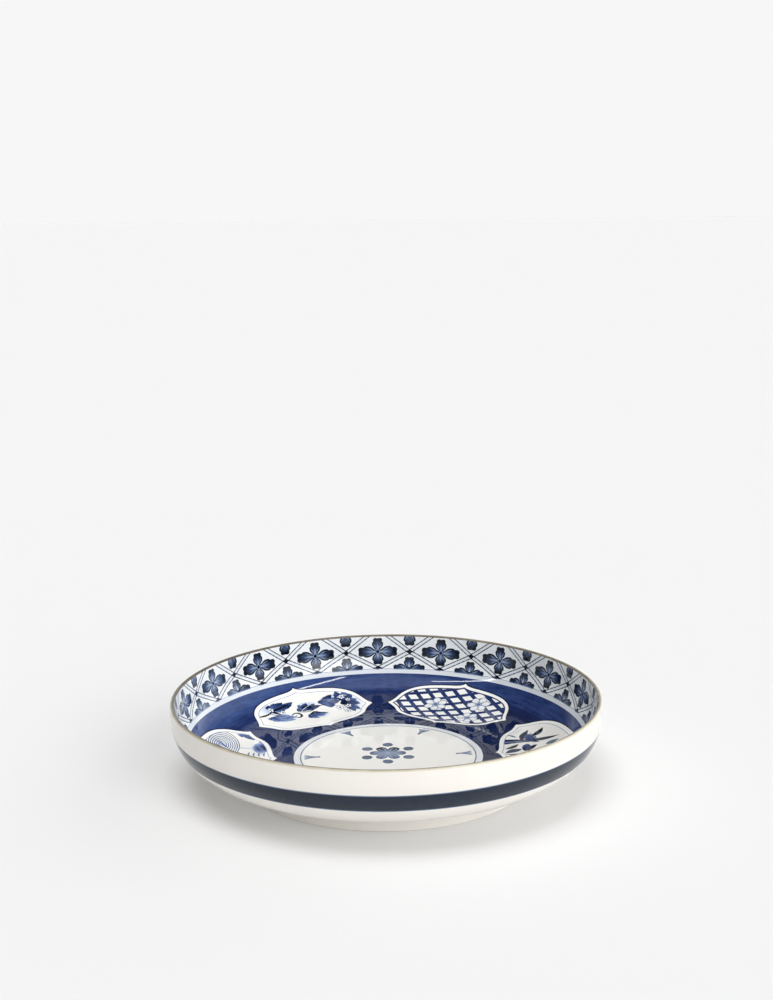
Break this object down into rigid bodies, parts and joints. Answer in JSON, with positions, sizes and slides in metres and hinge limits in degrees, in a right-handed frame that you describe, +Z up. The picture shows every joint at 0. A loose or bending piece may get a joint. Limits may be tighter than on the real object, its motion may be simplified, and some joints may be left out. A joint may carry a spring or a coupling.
{
  "type": "porcelain serving bowl",
  "caption": "Shallow round porcelain serving bowl on a low foot ring, with a steep wall, dark lip and painted blue-and-white inside.",
  "frame": {"origin": "centre of the foot ring's standing face, on the table", "axes": "+Z up along the bowl's turning axis; the front faces -Y; the first panel points 2.5 degrees from +X towards +Y"},
  "size_m": [0.25, 0.25, 0.05],
  "materials": {
    "porcelain": "gloss, warm white transparent glaze",
    "iron_lip": "satin iron-brown edging",
    "indigo_band": "gloss, dark indigo band under the glaze",
    "medallion_white": "gloss, white with fine grey-blue lines",
    "border_blue": "gloss, white with cobalt flowers in a line lattice",
    "cobalt_ground": "gloss, brushed cobalt wash",
    "panel_blue_white": "gloss, white reserve painted in cobalt"
  },
  "bodies": {
    "root": {"bowl_body": "porcelain", "foot_ring": "porcelain", "lip_edging": "iron_lip", "outer_band": "indigo_band", "centre_medallion": "medallion_white", "wall_border": "border_blue", "blue_ground": "cobalt_ground", "panel_reeds": "panel_blue_white", "panel_lattice_blossom": "panel_blue_white", "panel_leaf_spray": "panel_blue_white", "panel_roundel": "panel_blue_white", "panel_waves": "panel_blue_white", "panel_grasses": "panel_blue_white"}
  },
  "joints": []
}
